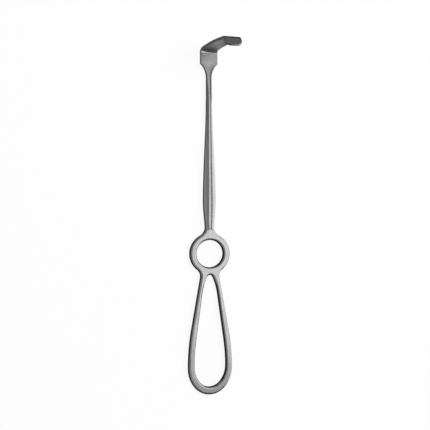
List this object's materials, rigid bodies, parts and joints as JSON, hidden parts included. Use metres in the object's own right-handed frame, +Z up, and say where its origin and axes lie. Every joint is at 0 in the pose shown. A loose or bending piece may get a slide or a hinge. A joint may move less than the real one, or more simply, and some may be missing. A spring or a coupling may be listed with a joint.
{
  "type": "handheld surgical retractor",
  "caption": "One-piece steel hand retractor with a ring and teardrop loop handle, a faceted shaft and an angled blade with a turned lip.",
  "frame": {"origin": "below the middle of the bounding box, on the surface that the instrument lies on", "axes": "+Y from the handle towards the blade, +Z up along the blade, X = 0 is the plane of symmetry"},
  "size_m": [0.0288, 0.2152, 0.043],
  "materials": {
    "satin_steel": "satin-ground stainless steel, brushed along the shaft"
  },
  "bodies": {
    "root": {"retractor": "satin_steel"}
  },
  "joints": []
}
